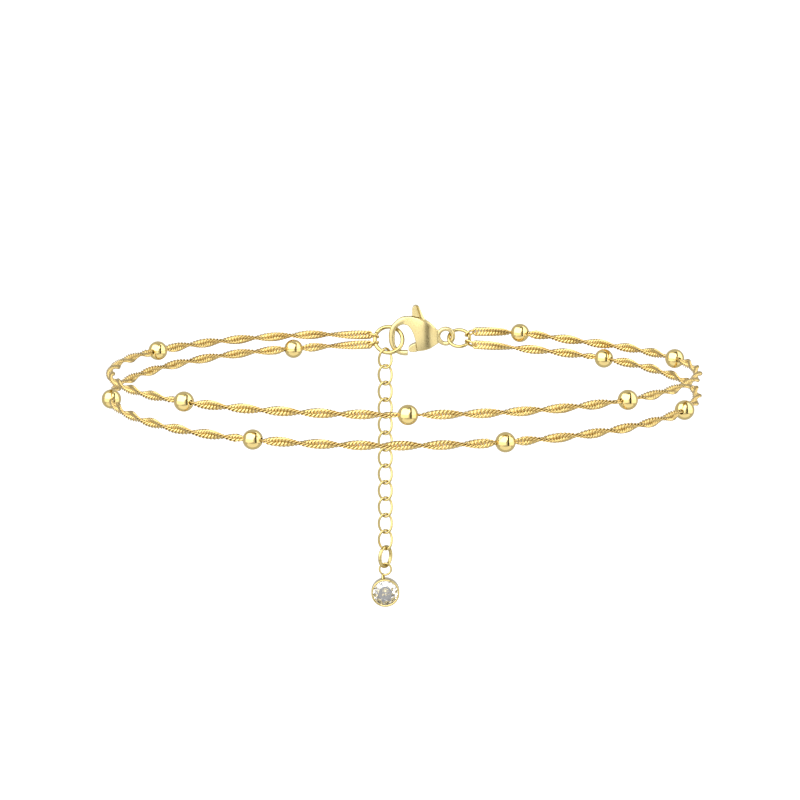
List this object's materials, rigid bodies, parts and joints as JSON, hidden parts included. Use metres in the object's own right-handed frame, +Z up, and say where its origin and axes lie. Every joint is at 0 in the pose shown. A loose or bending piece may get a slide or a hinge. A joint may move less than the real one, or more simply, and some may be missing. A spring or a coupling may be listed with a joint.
{
  "type": "charm anklet",
  "caption": "Two-strand anklet of twisted chain with polished beads, a lobster clasp and an extender chain ending in a round crystal drop.",
  "frame": {"origin": "middle of the loop on the ankle's axis, at the height of the upper strand", "axes": "+Z up along the ankle, +Y to the clasp at the back, +X across the loop's longer width"},
  "size_m": [0.0762, 0.065, 0.0414],
  "materials": {
    "chain_gold": "gold plated, cut facets on small links",
    "polished_gold": "gold plated, mirror polish",
    "crystal": "clear, round brilliant cut"
  },
  "bodies": {
    "anklet": {"strand_upper": "chain_gold", "strand_lower": "chain_gold", "bead_upper_1": "polished_gold", "bead_upper_2": "polished_gold", "bead_upper_3": "polished_gold", "bead_upper_4": "polished_gold", "bead_upper_5": "polished_gold", "bead_upper_6": "polished_gold", "bead_lower_1": "polished_gold", "bead_lower_2": "polished_gold", "bead_lower_3": "polished_gold", "bead_lower_4": "polished_gold", "bead_lower_5": "polished_gold", "bead_lower_6": "polished_gold", "ring_extender": "polished_gold", "ring_clasp": "polished_gold", "clasp_body": "polished_gold", "clasp_pin": "polished_gold", "extender_link_1": "polished_gold", "extender_link_2": "polished_gold", "extender_link_3": "polished_gold", "extender_link_4": "polished_gold", "extender_link_5": "polished_gold", "extender_link_6": "polished_gold", "extender_link_7": "polished_gold", "extender_link_8": "polished_gold", "extender_link_9": "polished_gold", "extender_link_10": "polished_gold", "extender_link_11": "polished_gold", "extender_link_12": "polished_gold", "drop_ring": "polished_gold"},
    "lever": {"clasp_lever": "polished_gold"},
    "drop": {"drop_bezel": "polished_gold", "drop_crystal": "crystal"}
  },
  "joints": [
    {"name": "lever_pivot", "type": "hinge", "parent": "anklet", "child": "lever", "pos_m": [0.0032, 0.0311, -0.0002], "axis": [0, 1, 0], "range_deg": [0, 20], "stiffness_Nm_per_rad": 0.0005, "springref_deg": -11.46},
    {"name": "drop_swing", "type": "hinge", "parent": "anklet", "child": "drop", "pos_m": [-0.0025, 0.0302, -0.03199], "axis": [0.5446, 0.8387, 0], "range_deg": [-60, 60]}
  ]
}
